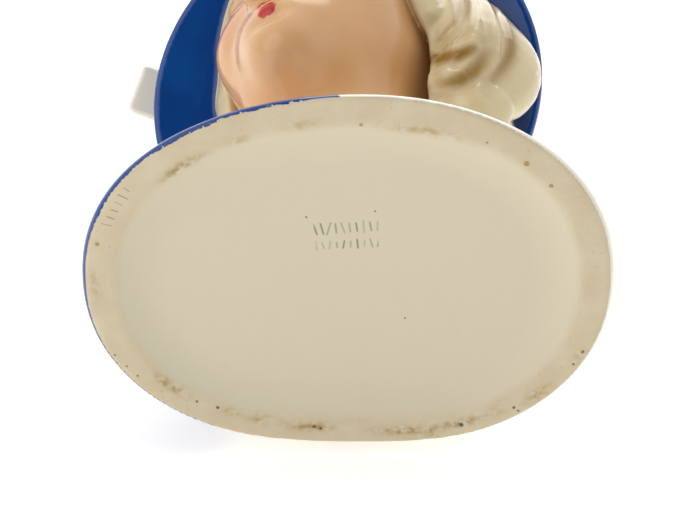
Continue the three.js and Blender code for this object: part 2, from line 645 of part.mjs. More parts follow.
// Merges edges, cheapest first by the quadric error, until few enough triangles are left.
function thinOut({ points, triangles }, most) {
  const count = points.length / 3;
  const quadric = Array.from({ length: count }, () => new Float64Array(10));
  const around = Array.from({ length: count }, () => new Set());
  const alive = new Uint8Array(triangles.length / 3).fill(1);
  const stamp = new Int32Array(count);
  const point = (v) => new THREE.Vector3(points[3 * v], points[3 * v + 1], points[3 * v + 2]);
  const corners = (t) => [triangles[3 * t], triangles[3 * t + 1], triangles[3 * t + 2]];
  const normalOf = (a, b, c) => b.clone().sub(a).cross(c.clone().sub(a));
  let left = alive.length;

  for (let t = 0; t < alive.length; t += 1) {
    const [a, b, c] = corners(t);
    const n = normalOf(point(a), point(b), point(c));
    const area = n.length() / 2;
    n.normalize();
    const off = -n.dot(point(a));
    const plane = [n.x, n.y, n.z, off];
    for (const v of [a, b, c]) {
      around[v].add(t);
      let m = 0;
      for (let i = 0; i < 4; i += 1)
        for (let j = i; j < 4; j += 1) quadric[v][m++] += area * plane[i] * plane[j];
    }
  }

  const neighbours = (v) => {
    const found = new Set();
    for (const t of around[v]) for (const c of corners(t)) if (c !== v) found.add(c);
    return found;
  };
  const costAt = (q, p) =>
    q[0] * p.x * p.x + q[4] * p.y * p.y + q[7] * p.z * p.z + q[9] +
    2 * (q[1] * p.x * p.y + q[2] * p.x * p.z + q[3] * p.x) +
    2 * (q[5] * p.y * p.z + q[6] * p.y + q[8] * p.z);
  const bestPlace = (a, b) => {
    const q = quadric[a].map((v, i) => v + quadric[b][i]);
    const middle = point(a).add(point(b)).multiplyScalar(0.5);
    const m = new THREE.Matrix3().set(q[0], q[1], q[2], q[1], q[4], q[5], q[2], q[5], q[7]);
    const size = q[0] + q[4] + q[7];
    const tries = [middle, point(a), point(b)];
    if (abs(m.determinant()) > 1e-4 * size * size * size) {
      const solved = new THREE.Vector3(-q[3], -q[6], -q[8]).applyMatrix3(m.invert());
      if (solved.distanceTo(middle) < point(a).distanceTo(point(b)) * 1.5) tries.push(solved);
    }
    let best = tries[0];
    let cost = Infinity;
    for (const p of tries) {
      const c = costAt(q, p);
      if (c < cost) {
        cost = c;
        best = p;
      }
    }
    return { a, b, place: best, cost: max(cost, 0) + 1e-5 * point(a).distanceToSquared(point(b)) };
  };

  const heap = [];
  const push = (item) => {
    heap.push(item);
    for (let i = heap.length - 1; i > 0; ) {
      const parent = (i - 1) >> 1;
      if (heap[parent].cost <= heap[i].cost) break;
      [heap[parent], heap[i]] = [heap[i], heap[parent]];
      i = parent;
    }
  };
  const pop = () => {
    const top = heap[0];
    const last = heap.pop();
    if (heap.length) {
      heap[0] = last;
      for (let i = 0; ; ) {
        let least = i;
        for (const c of [2 * i + 1, 2 * i + 2])
          if (c < heap.length && heap[c].cost < heap[least].cost) least = c;
        if (least === i) break;
        [heap[least], heap[i]] = [heap[i], heap[least]];
        i = least;
      }
    }
    return top;
  };
  const offer = (a, b) => {
    const item = bestPlace(a, b);
    item.marks = stamp[a] + stamp[b];
    push(item);
  };
  for (let v = 0; v < count; v += 1) for (const w of neighbours(v)) if (v < w) offer(v, w);

  const flips = (v, other, place) => {
    for (const t of around[v]) {
      const c = corners(t);
      if (c.includes(other)) continue;
      const was = normalOf(...c.map(point));
      const now = normalOf(...c.map((w) => (w === v ? place : point(w))));
      if (was.dot(now) < 0.25 * was.length() * now.length() || now.length() < 1e-4) return true;
    }
    return false;
  };

  while (left > most && heap.length) {
    const { a, b, place, marks } = pop();
    if (!around[a].size || !around[b].size || marks !== stamp[a] + stamp[b]) continue;
    const nearB = neighbours(b);
    if (!nearB.has(a)) continue;
    const shared = [...neighbours(a)].filter((v) => nearB.has(v));
    if (shared.length !== 2 || flips(a, b, place) || flips(b, a, place)) continue;
    for (const t of [...around[b]]) {
      const c = corners(t);
      if (c.includes(a)) {
        for (const v of c) around[v].delete(t);
        alive[t] = 0;
        left -= 1;
      } else {
        triangles[3 * t + c.indexOf(b)] = a;
        around[a].add(t);
      }
    }
    around[b].clear();
    [points[3 * a], points[3 * a + 1], points[3 * a + 2]] = place.toArray();
    quadric[a] = quadric[a].map((v, i) => v + quadric[b][i]);
    stamp[a] += 1;
    for (const v of neighbours(a)) offer(a, v);
  }
  return { points, triangles: triangles.filter((_, i) => alive[Math.floor(i / 3)]) };
}

const wasm = await Module();
wasm.setup();

function solidFrom(geometry) {
  const bare = geometry.clone();
  bare.deleteAttribute("normal");
  bare.deleteAttribute("uv");
  const merged = mergeVertices(bare.index ? bare.toNonIndexed() : bare, 1e-4);
  return new wasm.Manifold(
    new wasm.Mesh({
      numProp: 3,
      vertProperties: merged.attributes.position.array,
      triVerts: new Uint32Array(merged.index.array),
    }),
  );
}

function solidOfField(field, low, high, cell, most) {
  const traced = keepLargest(traceSurface(field, low, high, cell));
  const { points, triangles } = thinOut(traced, most);
  const geometry = new THREE.BufferGeometry();
  geometry.setAttribute("position", new THREE.Float32BufferAttribute(points, 3));
  geometry.setIndex(triangles);
  return solidFrom(geometry);
}

function geometryFrom(solid) {
  const { vertProperties, triVerts } = solid.getMesh();
  const geometry = new THREE.BufferGeometry();
  geometry.setAttribute("position", new THREE.BufferAttribute(vertProperties, 3));
  geometry.setIndex(new THREE.BufferAttribute(triVerts, 1));
  geometry.computeVertexNormals();
  return geometry;
}

// The hollow under the foot: the foot's oval, drawn in by the ring, with a sloping side.
function recess() {
  const oval = new THREE.Shape();
  const sides = 64;
  const inset = footRingWidth + recessSlope;
  for (let i = 0; i < sides; i += 1) {
    const angle = (2 * PI * i) / sides;
    const r = ovalRadius(angle, footWidth / 2, footDepth / 2) - inset;
    oval[i ? "lineTo" : "moveTo"](r * cos(angle), r * sin(angle));
  }
  oval.closePath();
  const geometry = new THREE.ExtrudeGeometry(oval, {
    depth: recessDepth,
    bevelEnabled: true,
    bevelThickness: recessDepth,
    bevelSize: recessSlope,
    bevelSegments: 3,
  });
  geometry.translate(0, 0, -recessDepth);
  return solidFrom(geometry);
}

function below(height) {
  const big = 4 * footWidth;
  const box = new THREE.BoxGeometry(big, big, big);
  box.translate(0, 0, height - big / 2);
  return solidFrom(box);
}

const reach = footWidth / 2 + 8;
const top = brimHeight + crownHeight + 20;
const skin = solidOfField(
  outside,
  [-reach, -reach, -6],
  [reach, reach, top],
  outsideCell,
  outsideTriangles,
);
const hollow = solidOfField(
  cavity,
  [-reach, -reach, 0],
  [reach, reach, top],
  cavityCell,
  cavityTriangles,
);
const vaseSolid = skin.subtract(hollow).subtract(below(0)).subtract(recess());

const glazedCeramic = new THREE.MeshStandardMaterial({
  color: 0xe8e0cf,
  roughness: 0.2,
  metalness: 0,
});

// The origin is under the middle of the whole vase.
const vaseGeometry = geometryFrom(vaseSolid);
vaseGeometry.computeBoundingBox();
const middle = vaseGeometry.boundingBox.getCenter(new THREE.Vector3());
vaseGeometry.translate(-middle.x, -middle.y, 0);

const vase = new THREE.Mesh(vaseGeometry, glazedCeramic);
vase.name = "head_vase";

const group = new THREE.Group();
group.add(vase);

export default group;
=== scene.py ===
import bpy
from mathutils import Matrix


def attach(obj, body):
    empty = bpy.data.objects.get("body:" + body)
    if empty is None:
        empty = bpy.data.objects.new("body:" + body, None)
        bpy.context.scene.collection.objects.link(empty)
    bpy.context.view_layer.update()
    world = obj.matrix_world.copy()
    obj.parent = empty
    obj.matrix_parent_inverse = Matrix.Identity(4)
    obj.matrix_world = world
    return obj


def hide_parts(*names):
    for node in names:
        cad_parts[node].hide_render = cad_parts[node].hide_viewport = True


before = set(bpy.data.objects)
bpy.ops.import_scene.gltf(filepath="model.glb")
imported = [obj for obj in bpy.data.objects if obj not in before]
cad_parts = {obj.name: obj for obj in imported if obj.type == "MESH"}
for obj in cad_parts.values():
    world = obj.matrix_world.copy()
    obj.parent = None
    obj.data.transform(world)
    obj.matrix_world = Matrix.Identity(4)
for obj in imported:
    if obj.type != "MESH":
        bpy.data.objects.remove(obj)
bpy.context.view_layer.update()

import math

import bpy
import numpy as np
from mathutils import Euler, Vector

# A lady head vase seen from below: slip-cast earthenware, painted by hand and glazed.
# All forms are worked out in millimetres, with the origin under the foot, and end in metres.
mm = 0.001

# Camera
viewFrom = {"distance": 400, "elevation": -62.8, "aimFront": 4.7, "lens": 94.9}


def makeCamera(footCentre):
    tilt = math.radians(viewFrom["elevation"])
    away = Vector((0, -math.cos(tilt), math.sin(tilt))) * viewFrom["distance"]
    place = footCentre + away
    aim = footCentre + Vector((0, -viewFrom["aimFront"], 0))
    data = bpy.data.cameras.new("camera")
    data.lens = viewFrom["lens"]
    data.sensor_width = 36
    data.clip_start = 0.01
    camera = bpy.data.objects.new("camera", data)
    camera.location = place * mm
    camera.rotation_euler = (aim - place).to_track_quat("-Z", "Y").to_euler()
    bpy.context.scene.collection.objects.link(camera)
    bpy.context.scene.camera = camera


# Fields
# A field gives each point's distance to a surface, negative inside. Points are columns x, y, z.
def blend(a, b, k):
    near = np.maximum(k - np.abs(a - b), 0) / k
    return np.minimum(a, b) - near * near * k / 4


def carve(a, b, k):
    return -blend(-a, b, k)


def overlap(a, b, k):
    return -blend(-a, -b, k)


def mix(a, b, t):
    return a + (b - a) * t


def ramp(low, high, v):
    t = np.clip((v - low) / (high - low), 0, 1)
    return t * t * (3 - 2 * t)


def length(*parts):
    return np.sqrt(sum(p * p for p in parts))


def ellipsoid(x, y, z, rx, ry, rz):
    near = length(x / rx, y / ry, z / rz)
    slope = length(x / rx**2, y / ry**2, z / rz**2)
    return np.where(slope > 1e-9, near * (near - 1) / np.maximum(slope, 1e-9), -min(rx, ry, rz))


def awayFrom(x, y, z, a, b):
    bx, by, bz = b[0] - a[0], b[1] - a[1], b[2] - a[2]
    px, py, pz = x - a[0], y - a[1], z - a[2]
    t = np.clip((px * bx + py * by + pz * bz) / (bx * bx + by * by + bz * bz), 0, 1)
    return length(px - t * bx, py - t * by, pz - t * bz), t


def rod(x, y, z, a, b, ra, rb):
    away, t = awayFrom(x, y, z, a, b)
    return away - mix(ra, rb, t)


def frameAt(centre, pitch, roll, turn):
    angles = (math.radians(pitch), math.radians(roll), math.radians(turn))
    m = np.array(Euler(angles, "XYZ").to_matrix())

    def intoFrame(x, y, z):
        dx, dy, dz = x - centre[0], y - centre[1], z - centre[2]
        return tuple(m[0][i] * dx + m[1][i] * dy + m[2][i] * dz for i in range(3))

    return intoFrame


# The bust and its foot
bustSizes = {
    "footWidth": 116.3,
    "footDepth": 87.9,
    "footSquareness": 2.16,
    "footPear": 0.007,
    "footBackFlat": 0.99,
    "footEdgeRadius": 2.2,
    "ringWidth": 7.5,
    "recessDepth": 3,
    "recessSlope": 5,
    "height": 47,
    "necklineHeight": 40,
    "necklineDip": 8,
    "clothThickness": 0.9,
    "stoleThickness": 1.6,
    "stoleHem": 1.3,
    "foldDepth": 1.5,
    "foldPitch": 12,
    "neckRadius": 17,
    "neckLean": 6,
    "neckAside": 4.5,
}
headPlace = {"across": -3, "forward": 11, "height": 100, "turn": 31, "tilt": 3}
brimSizes = {
    "radius": 53.7,
    "narrower": 0.92,
    "left": 0.4,
    "forward": 1.4,
    "height": 106,
    "thickness": 6,
    "dish": 5,
    "tiltBack": 33,
    "roll": 9,
}
crownSizes = {
    "radius": 38,
    "topRadius": 32,
    "height": 54,
    "shoulder": 17,
    "tiltBack": 15,
    "back": 3,
    "root": 50,
    "mouthRadius": 21,
    "lipRound": 1.8,
    "bandWidth": 11,
    "bandThickness": 1.4,
}
castWall = {"wall": 4.2, "floor": 4.5, "headExtra": 1, "faceExtra": 2, "napeFront": 18}

intoHead = frameAt(
    (headPlace["across"], -headPlace["forward"], headPlace["height"]),
    0,
    headPlace["tilt"],
    -headPlace["turn"],
)
intoBrim = frameAt(
    (-brimSizes["left"], -brimSizes["forward"], brimSizes["height"]),
    -brimSizes["tiltBack"],
    brimSizes["roll"],
    0,
)
intoCrown = frameAt(
    (-brimSizes["left"], crownSizes["back"], brimSizes["height"]),
    -crownSizes["tiltBack"],
    brimSizes["roll"] / 2,
    0,
)


def ovalRadius(angle, halfWidth, halfDepth):
    n = bustSizes["footSquareness"]
    across = (np.abs(np.cos(angle)) / halfWidth) ** n
    deep = (np.abs(np.sin(angle)) / halfDepth) ** n
    pear = 1 + bustSizes["footPear"] * (np.sin(3 * angle) - np.cos(3 * angle))
    oval = (across + deep) ** (-1 / n) * pear
    backEdge = np.maximum(np.sin(angle), 1e-3) / (halfDepth * bustSizes["footBackFlat"])
    return (oval**-24.0 + backEdge**24.0) ** (-1 / 24)


def insideStole(x, y, z):
    up = z / bustSizes["height"]
    return x - mix(mix(-2, -13, up), mix(-31, -12, up), ramp(-20, 20, y))


def bust(x, y, z):
    up = np.clip(z / bustSizes["height"], 0, 1)
    halfWidth = mix(bustSizes["footWidth"] / 2, bustSizes["neckRadius"], up * up)
    halfDepth = mix(bustSizes["footDepth"] / 2, bustSizes["neckRadius"], up**0.95)
    side = length(x, y) - ovalRadius(np.arctan2(y, x), halfWidth, halfDepth)
    return side / np.sqrt(1 + mix(0.3, 1.1, up) ** 2)


def belowNeckline(x, y, z):
    dip = bustSizes["necklineDip"] * ramp(10, -14, y) * np.exp(-((x / 15) ** 2))
    return bustSizes["necklineHeight"] - dip - z


# The dress lies on the body, and the stole is draped over one shoulder and the back.
def clothRise(x, y, z):
    inside = insideStole(x, y, z)
    fade = ramp(3, 34, z)
    neckFade = 1 - 0.5 * ramp(0.85, 1.1, z / bustSizes["height"])
    fold = (0.5 + 0.5 * np.cos(2 * math.pi * (inside - 3) / bustSizes["foldPitch"])) ** 1.6
    hem = bustSizes["stoleHem"] * np.exp(-(((inside - 2.2) / 1.8) ** 2))
    rise = bustSizes["stoleThickness"] + bustSizes["foldDepth"] * fold * ramp(2, 8, inside) + hem
    dress = bustSizes["clothThickness"] * ramp(-0.5, 0.5, belowNeckline(x, y, z))
    return np.maximum(dress, ramp(-0.7, 0.7, inside) * rise * neckFade) * fade


def dressedBust(x, y, z):
    edge = bustSizes["footEdgeRadius"]
    body = overlap(bust(x, y, z) - clothRise(x, y, z), z - bustSizes["height"], 8)
    return overlap(body, -z - edge / 3, edge * 2)


def neck(x, y, z):
    aside = headPlace["across"] + bustSizes["neckAside"]
    top = (aside, 3 - bustSizes["neckLean"], headPlace["height"] - 17)
    radius = bustSizes["neckRadius"]
    return rod(x, y, z, (0, 3, 34), top, radius + 2, radius)


# The face, in the head's frame
def faceForm(x, y, z):
    s = np.abs(x)
    skull = ellipsoid(x, y, z - 4, 26.5, 32, 38)
    jaw = ellipsoid(x, y + 7, z + 19, 19.5, 20.5, 20)
    cheek = ellipsoid(s - 13.5, y + 17, z + 8, 10, 9, 11)
    chin = ellipsoid(x, y + 22.5, z + 33.5, 8, 6.5, 6)
    return blend(blend(blend(skull, jaw, 12), cheek, 8), chin, 9)


# The height of the lash line on the lowered lid.
def lashHeight(s):
    return 1.6 - 2.4 * (1 - ((s - 12.2) / 6.4) ** 2)


def browAndEyes(d, x, y, z):
    s = np.abs(x)
    brow = rod(s, y, z, (3, -28.6, 10.5), (17, -23.5, 11.5), 3.4, 2.6)
    socket = ellipsoid(s - 12.4, y + 33.4, z - 3, 8, 6.6, 5.4)
    ball = length(s - 12.2, y + 18.8, z - 2.4) - 8.4
    upperLid = overlap(ball - 0.7, lashHeight(s) - z, 0.8)
    browed = carve(blend(d, brow, 6), socket, 5)
    return blend(blend(browed, ball, 1.4), upperLid, 0.8)


def nose(d, x, y, z):
    s = np.abs(x)
    bridge = rod(x, y, z, (0, -28.4, 9), (0, -36, -11), 2.6, 3.3)
    tip = ellipsoid(x, y + 36.6, z + 12.2, 3.9, 4.1, 3.5)
    wing = ellipsoid(s - 4.6, y + 32.4, z + 13.6, 2.8, 3.6, 2.8)
    nostril = ellipsoid(s - 2.6, y + 35.6, z + 16.4, 1.3, 2, 1.2)
    return carve(blend(blend(blend(d, bridge, 5), tip, 3), wing, 2.4), nostril, 1)


def lipForms(s, y, z):
    corner = (9.2, -25.6, -24.4)
    upper = rod(s, y, z, (1.7, -29.6, -22.6), corner, 2.2, 0.5)
    lower = rod(s, y, z, (0.6, -29.2, -26.4), corner, 2.6, 0.5)
    return upper, lower


def mouth(d, x, y, z):
    mound = ellipsoid(x, y + 21.5, z + 24, 11, 8.6, 8)
    groove = rod(x, y, z, (0, -32.2, -17.5), (0, -31.6, -21), 1, 1.1)
    upper, lower = lipForms(np.abs(x), y, z)
    dip = ellipsoid(x, y + 32.6, z + 30.6, 6.5, 2.8, 1.8)
    muzzle = carve(carve(blend(d, mound, 7), groove, 1.6), dip, 3)
    return blend(blend(muzzle, upper, 1.2), lower, 1.2)


def head(x, y, z):
    return mouth(nose(browAndEyes(faceForm(x, y, z), x, y, z), x, y, z), x, y, z)


# Hair, in the head's frame
def curveThrough(points, steps):
    p = [np.array(q, float) for q in points]
    p = [2 * p[0] - p[1]] + p + [2 * p[-1] - p[-2]]
    along = []
    for i in range(steps + 1):
        u = i / steps * (len(points) - 1)
        j = min(int(u), len(points) - 2)
        t = u - j
        a, b, c, d = p[j : j + 4]
        curve = 2 * b + (c - a) * t + (2 * a - 5 * b + 4 * c - d) * t**2
        along.append((curve + (3 * b - a - 3 * c + d) * t**3) / 2)
    return along


# A lock swells between its ends; it joins the hair with a fillet of the given softness.
def lockRadius(u, fat, tip):
    return mix(fat, tip, u) * np.sin(math.pi * (0.12 + 0.8 * u)) ** 0.5


def lock(points, fat, tip, softness):
    steps = 12
    along = curveThrough(points, steps)
    middle = along[steps // 2]
    bound = max(np.linalg.norm(p - middle) for p in along) + max(fat, tip)
    return {
        "along": along,
        "fat": fat,
        "tip": tip,
        "middle": middle,
        "bound": bound,
        "softness": softness,
    }


def lockDistance(x, y, z, one):
    away, u = nearestAlong(x, y, z, one["along"])
    return away - lockRadius(u, one["fat"], one["tip"])


locks = [
    lock([(31, 1, 12), (34.5, 9, -8), (32.5, 11, -26)], 8.5, 8, 7),
    lock([(33.5, 12, 14), (39.3, 17.5, -12), (36, 18, -30)], 9.5, 9.4, 7),
    lock([(32, 2, 12), (37, 5, -7), (36, 6.5, -22), (31.5, 6, -29)], 7.5, 6.5, 7),
    lock([(32, 14, -34), (25.5, 26, -39), (6, 32, -42), (-14, 29, -41), (-27, 16, -37)], 8, 6.5, 7),
    lock([(21, 26, 9), (27, 29, -16), (24, 26, -32)], 9, 8, 7),
    lock([(8.5, 29, 6), (12, 32, -19), (8, 30, -36)], 9, 8, 7),
    lock([(-12, 25, 10), (-13, 30, -14), (-10, 28, -36)], 9, 8, 7),
    lock([(-25, 12, 8), (-28, 16, -14), (-26, 15, -36)], 8.5, 7, 7),
    lock([(-28, 2, 16), (-30, 5, -8), (-28, 3, -32)], 7, 6.5, 6),
    lock([(-27, -8, 18), (-28.5, -4, -2), (-25.5, -2, -26)], 6, 5.5, 5),
    lock([(5, -23, 26), (-10, -24, 21), (-21, -16.5, 13), (-28, -7, 0)], 6, 6, 3),
    lock([(5, -23, 26), (16, -21.5, 20), (25, -13, 10), (29, -3, -6)], 6, 7, 3),
    lock([(2, -20, 31), (-15, -18, 27), (-28, -7, 14)], 6, 6, 3),
]


# Distance to the nearest point of a curve, and how far along the curve that point is.
def nearestAlong(x, y, z, along):
    best = np.full(np.shape(x), 1e9)
    place = np.zeros(np.shape(x))
    for i in range(len(along) - 1):
        away, t = awayFrom(x, y, z, along[i], along[i + 1])
        closer = away < best
        best = np.where(closer, away, best)
        place = np.where(closer, i + t, place)
    return best, place / (len(along) - 1)


def hairCap(x, y, z):
    cap = ellipsoid(x, y - 4, z - 6, 31, 33, 38)
    nape = ellipsoid(x, y - 14, z + 22, 30, 20, 24)
    return blend(cap, nape, 10)


# The face and the sides of the jaw stay free of hair.
def faceOpening(x, y, z, back):
    up = z + 6
    return overlap((length(x / 26, np.where(up > 0, up / 35, up / 48)) - 1) * 26, y - back, 6)


hairFront = 16


# The hair before its grooves, and how far each point is from the crevice between two locks.
def hairMass(x, y, z):
    d = carve(hairCap(x, y, z), faceOpening(x, y, z, hairFront), 4)
    second = np.full(np.shape(x), 1e9)
    for one in locks:
        mx, my, mz = one["middle"]
        close = length(x - mx, y - my, z - mz) - one["bound"] < d + 8
        new = np.full(np.shape(x), 1e9)
        new[close] = lockDistance(x[close], y[close], z[close], one)
        second = np.minimum(second, np.maximum(d, new) + one["softness"] / 2 - 1)
        d = blend(d, new, one["softness"])
    d = carve(d, overlap(faceOpening(x, y, z, hairFront), z - 2, 6), 3)
    return d, second - d


def slopeOf(field, points, step):
    near = []
    for axis in range(3):
        offset = np.zeros(3)
        offset[axis] = step
        near.append(field(*(points + offset).T) - field(*(points - offset).T))
    return np.stack(near, 1) / (2 * step)


def settleOnSurface(field, points, rounds):
    for _ in range(rounds):
        slope = slopeOf(field, points, 0.05)
        steep = np.maximum((slope**2).sum(1), 0.25)
        step = np.clip(field(*points.T) / steep, -4, 4)
        points = points - slope * step[:, None]
    return points


grooveSizes = {"radius": 1.7, "above": 0.7, "steps": 12}


# A groove follows the hair's surface between its points and fades out at both ends.
def groove(points):
    steps = grooveSizes["steps"]
    path = settleOnSurface(lambda *p: hairMass(*p)[0], np.array(curveThrough(points, steps)), 6)
    slope = slopeOf(lambda *p: hairMass(*p)[0], path, 0.2)
    outward = slope / np.linalg.norm(slope, axis=1)[:, None]
    fade = np.sin(math.pi * (0.04 + 0.92 * np.arange(steps + 1) / steps)) ** 0.5
    lift = grooveSizes["above"] + (1 - fade) * grooveSizes["radius"]
    centre = path + outward * lift[:, None]
    middle = centre[steps // 2]
    bound = np.linalg.norm(centre - middle, axis=1).max() + grooveSizes["radius"]
    return {"along": list(centre), "middle": middle, "bound": bound}


def fallingGroove(angle, sway):
    a = math.radians(angle)
    points = []
    for height, out, turned in ((10, 38, 0), (-8, 42, sway), (-24, 41, -sway), (-38, 38, 0)):
        b = a + math.radians(turned)
        points.append((out * math.cos(b), 8 + out * math.sin(b), height))
    return groove(points)


grooves = [
    fallingGroove(angle, 3) for angle in (30, 47, 63, 80, 97, 115, 133, 152, 172, 192)
] + [
    groove([(38, -6, 10), (39.5, -5, -3), (38.5, -3.6, -11.5), (36, -2, -19.6), (30, -0.5, -21)]),
    groove([(39, 3, -28), (34.3, 1.9, -30.6), (29, 1.4, -28.4)]),
    groove([(43, -1, 2), (43, 1, -12), (41.5, 4, -26), (36.5, 7, -33), (30.5, 6.2, -34), (24, 5, -31.5)]),
    groove([(43, 3, 8), (46, 4, -6), (46, 7, -17), (43.5, 10.5, -26), (38, 10.6, -34)]),
]


def hairAndGroove(x, y, z):
    d, crevice = hairMass(x, y, z)
    nearest = np.full(np.shape(x), 9.0)
    for one in grooves:
        mx, my, mz = one["middle"]
        close = length(x - mx, y - my, z - mz) < one["bound"] + 9
        away = nearestAlong(x[close], y[close], z[close], one["along"])[0]
        nearest[close] = np.minimum(nearest[close], away)
        d[close] = carve(d[close], away - grooveSizes["radius"], 1.5)
    return d, np.minimum(nearest, np.maximum(crevice, 0) * 1.5 + 1)


# The hat
# The brim is an oval that turns with the head, dished so that its edge hangs a little.
def aboveBrim(x, y, z):
    bx, by, bz = intoBrim(x, y, z)
    turn = math.radians(headPlace["turn"])
    across = bx * math.cos(turn) - by * math.sin(turn)
    along = bx * math.sin(turn) + by * math.cos(turn)
    out = length(across, along / brimSizes["narrower"])
    return out, bz + brimSizes["dish"] * np.minimum(out / brimSizes["radius"], 1.1) ** 2


def brim(x, y, z):
    out, above = aboveBrim(x, y, z)
    radius, thick = brimSizes["radius"], brimSizes["thickness"] / 2
    flat = np.maximum(out - (radius - thick), 0)
    return length(flat, np.maximum(np.abs(above) - thick * 0.35, 0)) - thick * 0.65


def drum(out, up, low, high, lowRadius, highRadius, rounding):
    t = np.clip(up / high, 0, 1)
    beside = out - mix(lowRadius, highRadius, t * t) + rounding
    above = np.abs(up - (low + high) / 2) - (high - low) / 2 + rounding
    outside = length(np.maximum(beside, 0), np.maximum(above, 0))
    return outside + np.minimum(np.maximum(beside, above), 0) - rounding


def crown(x, y, z):
    c = crownSizes
    cx, cy, cz = intoCrown(x, y, z)
    out, low, high = length(cx, cy), -c["root"], c["height"]
    solid = drum(out, cz, low, high, c["radius"], c["topRadius"], c["shoulder"])
    return overlap(solid, -1 - aboveBrim(x, y, z)[1], 1)


def band(x, y, z):
    half = crownSizes["bandWidth"] / 2
    level = np.abs(intoBrim(x, y, z)[2] - brimSizes["thickness"] - half) - half
    return overlap(crown(x, y, z) - crownSizes["bandThickness"], level, 1)


bowSizes = {"ribbonWidth": 13.6, "ribbonThickness": 4.5, "tailReach": 58.6}


def strip(p, start, end, width, thick):
    dx, dy, dz = (end[i] - start[i] for i in range(3))
    long = math.hypot(dx, dy)
    ux, uy = dx / long, dy / long
    along = (p[0] - start[0]) * ux + (p[1] - start[1]) * uy
    across = (p[1] - start[1]) * ux - (p[0] - start[0]) * uy
    lift = p[2] - start[2] - dz * np.clip(along / long, 0, 1)
    rounding = 1.6
    qx = np.abs(along - long / 2) - long / 2 + rounding
    qy = np.abs(across) - width / 2 + rounding
    qz = np.abs(lift) - thick / 2 + rounding
    outside = length(np.maximum(qx, 0), np.maximum(qy, 0), np.maximum(qz, 0))
    return outside + np.minimum(np.maximum(np.maximum(qx, qy), qz), 0) - rounding


def bow(x, y, z):
    p = intoBrim(x, y, z)
    width, thick = bowSizes["ribbonWidth"], bowSizes["ribbonThickness"]
    knot = ellipsoid(p[0] + 40, p[1] - 1, p[2] - 10, 6, 6.5, 7)
    tail = strip(p, (-36, 7, 6.5), (-bowSizes["tailReach"], 1, 0.6), width, thick)
    second = strip(p, (-37, 4, 7), (-40, 32, 2.6), width, thick)
    frontLoop = ellipsoid(p[0] + 38.5, p[1] + 15, p[2] - 13, 6, 13, 9)
    backLoop = ellipsoid(p[0] + 38.5, p[1] - 17, p[2] - 12, 6, 13, 9)
    frontHollow = ellipsoid(p[0] + 44, p[1] + 17.5, p[2] - 13, 3.4, 7.5, 4.5)
    backHollow = ellipsoid(p[0] + 44, p[1] - 19.5, p[2] - 12, 3.4, 7.5, 4.5)
    loops = np.minimum(carve(frontLoop, frontHollow, 2), carve(backLoop, backHollow, 2))
    return blend(blend(blend(tail, second, 1.2), loops, 1.2), knot, 1.2)


def hat(x, y, z):
    brimAndCrown = blend(brim(x, y, z), crown(x, y, z), 3)
    return brimAndCrown, blend(band(x, y, z), bow(x, y, z), 1)


# The whole casting
def partsAt(x, y, z):
    hx, hy, hz = intoHead(x, y, z)
    underHat = aboveBrim(x, y, z)[1]
    face = head(hx, hy, hz)
    locksAndCap, grooveDistance = hairAndGroove(hx, hy, hz)
    blueHat, ribbon = hat(x, y, z)
    return {
        "bust": dressedBust(x, y, z),
        "neck": neck(x, y, z),
        "face": overlap(face, underHat, 1),
        "hair": overlap(locksAndCap, underHat, 1),
        "hat": blueHat,
        "ribbon": ribbon,
        "groove": grooveDistance,
    }


def outside(parts):
    body = blend(blend(parts["bust"], parts["neck"], 8), parts["face"], 7)
    withHair = blend(body, parts["hair"], 1.6)
    return blend(blend(withHair, parts["hat"], 1.6), parts["ribbon"], 1)


def cavity(x, y, z):
    c, wall = crownSizes, castWall["wall"]
    headWall, faceExtra = wall + castWall["headExtra"], castWall["faceExtra"]
    hx, hy, hz = intoHead(x, y, z)
    cx, cy, cz = intoCrown(x, y, z)
    out = length(cx, cy)
    underFloor = castWall["floor"] + bustSizes["recessDepth"] - z
    bustInside = overlap(bust(x, y, z) + wall, underFloor, 6)
    shoulders = overlap(bustInside, z - bustSizes["height"] + wall, 6)
    throat = neck(x, y, z) + wall
    behindFace = carve(hairCap(hx, hy, hz), faceOpening(hx, hy, hz, castWall["napeFront"]), 4)
    core = ellipsoid(hx, hy - 8, hz + 12, 14, 18, 22)
    skull = blend(faceForm(hx, hy, hz) + faceExtra, behindFace, 6) + headWall
    headInside = blend(skull, core, 6)
    above = aboveBrim(x, y, z)[1]
    plate = wall - brimSizes["thickness"] / 2
    underBrim = overlap(blend(blend(shoulders, throat, 8), headInside, 6), above + plate, 3)
    inner, innerTop = c["radius"] - wall, c["topRadius"] - wall
    shoulder = c["shoulder"] - wall + 1
    inCrown = drum(out, cz, -c["root"], c["height"] - wall, inner, innerTop, shoulder)
    passage = overlap(headInside, inCrown, 3)
    inHat = blend(overlap(inCrown, plate - above, 3), passage, 2)
    mouthRadius = c["mouthRadius"]
    opening = drum(out, cz, 30, c["height"] + 12, mouthRadius, mouthRadius, 1)
    return blend(blend(underBrim, inHat, 2), opening, 2 * c["lipRound"])


def footOval(x, y):
    halfWidth, halfDepth = bustSizes["footWidth"] / 2, bustSizes["footDepth"] / 2
    return length(x, y) - ovalRadius(np.arctan2(y, x), halfWidth, halfDepth)


def recess(x, y, z):
    inward = footOval(x, y) + bustSizes["ringWidth"] + bustSizes["recessSlope"]
    depth, slope = bustSizes["recessDepth"], bustSizes["recessSlope"]
    side = (inward + (z / depth - 1) * slope) / math.hypot(1, slope / depth)
    return overlap(side, z - depth, 3)


def vase(x, y, z):
    skin = outside(partsAt(x, y, z))
    hollow = overlap(skin, -cavity(x, y, z), 1.5)
    cut = overlap(hollow, -z, 0.5)
    return overlap(cut, -recess(x, y, z), 0.6)


